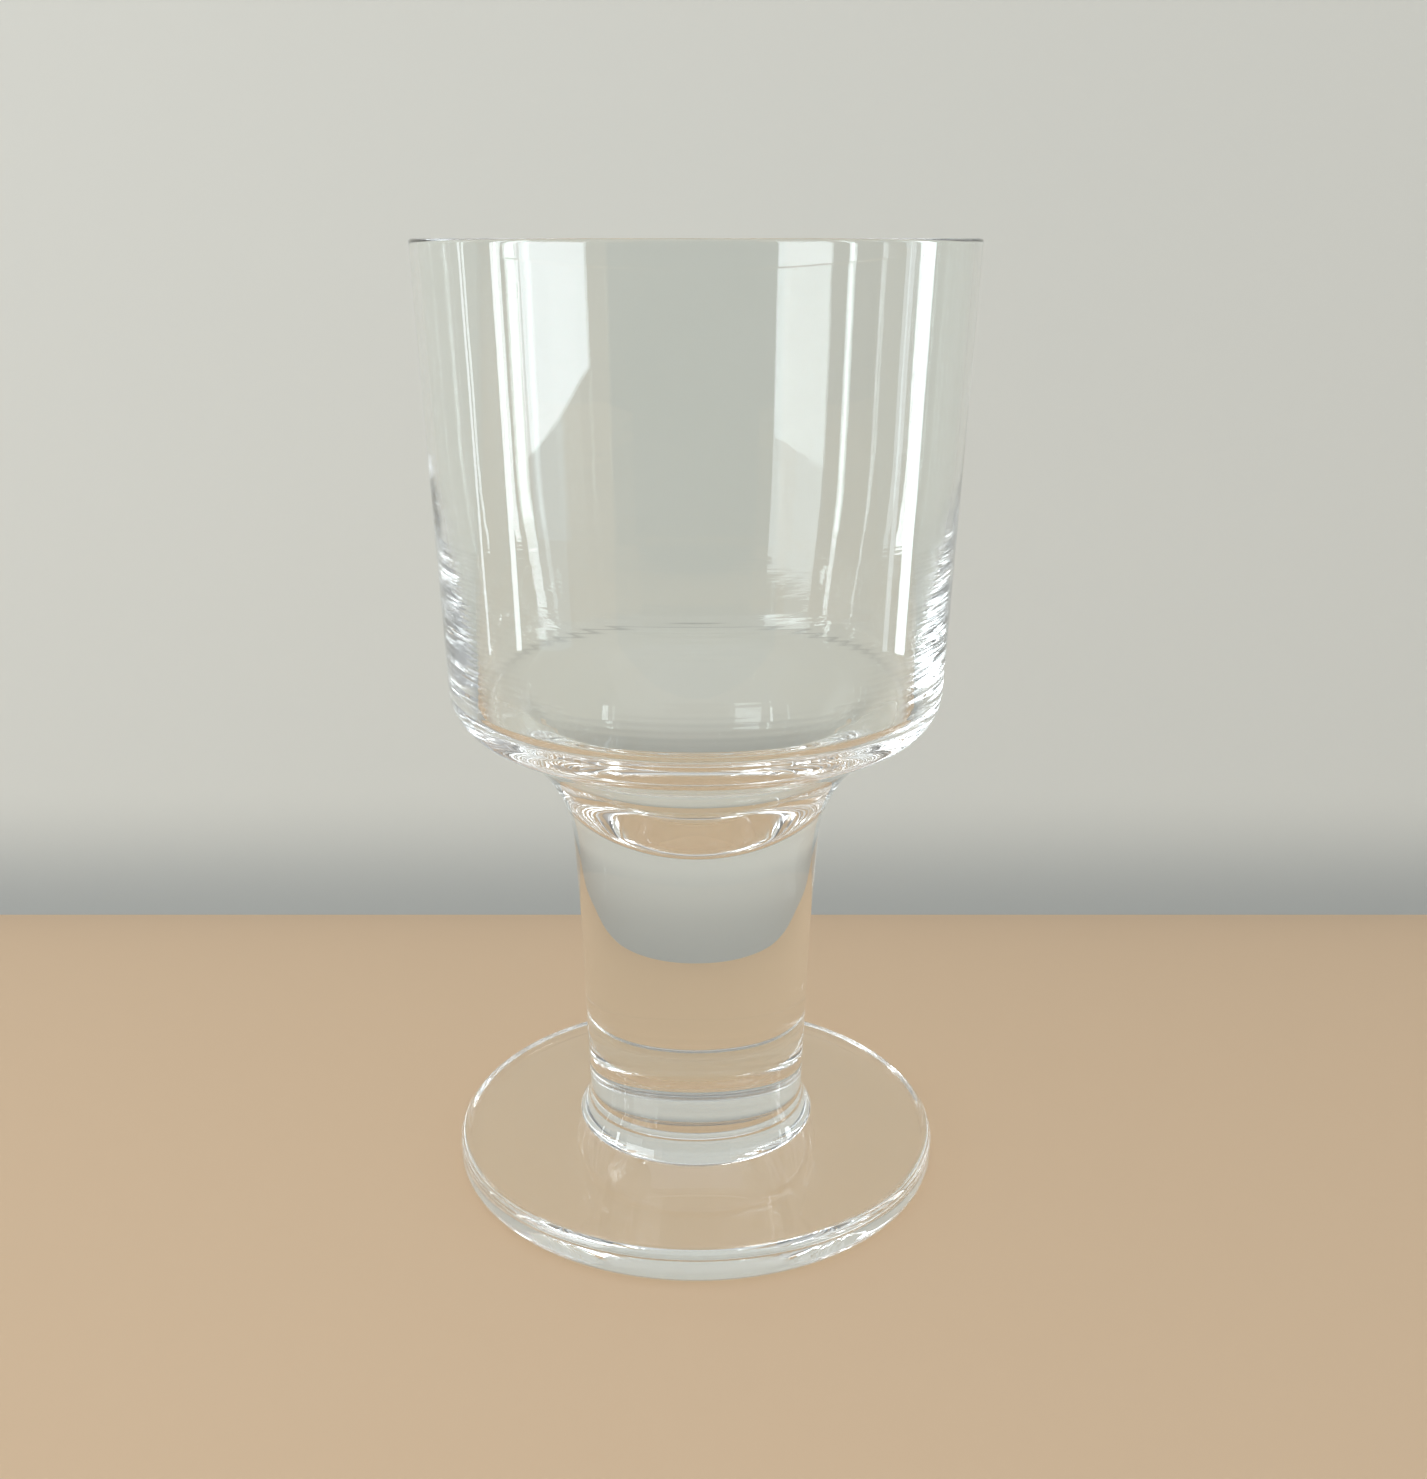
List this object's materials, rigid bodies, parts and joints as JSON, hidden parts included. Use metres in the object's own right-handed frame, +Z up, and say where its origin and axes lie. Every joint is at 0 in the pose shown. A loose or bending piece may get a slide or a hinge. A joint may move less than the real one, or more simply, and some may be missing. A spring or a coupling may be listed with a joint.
{
  "type": "water goblet",
  "caption": "Clear glass water goblet: straight-sided bowl with a thick base and a dipped floor, on a stout solid stem and a round foot.",
  "frame": {"origin": "middle of the foot's underside, at table height", "axes": "+Z up along the axis that the bowl, stem and foot share; the goblet is round, so +X is any direction across it"},
  "size_m": [0.09, 0.09, 0.1633],
  "materials": {
    "bowl_glass": "fire-polished",
    "stem_glass": "fire-polished",
    "foot_glass": "fire-polished"
  },
  "bodies": {
    "root": {"bowl": "bowl_glass", "stem": "stem_glass", "foot": "foot_glass"}
  },
  "joints": []
}
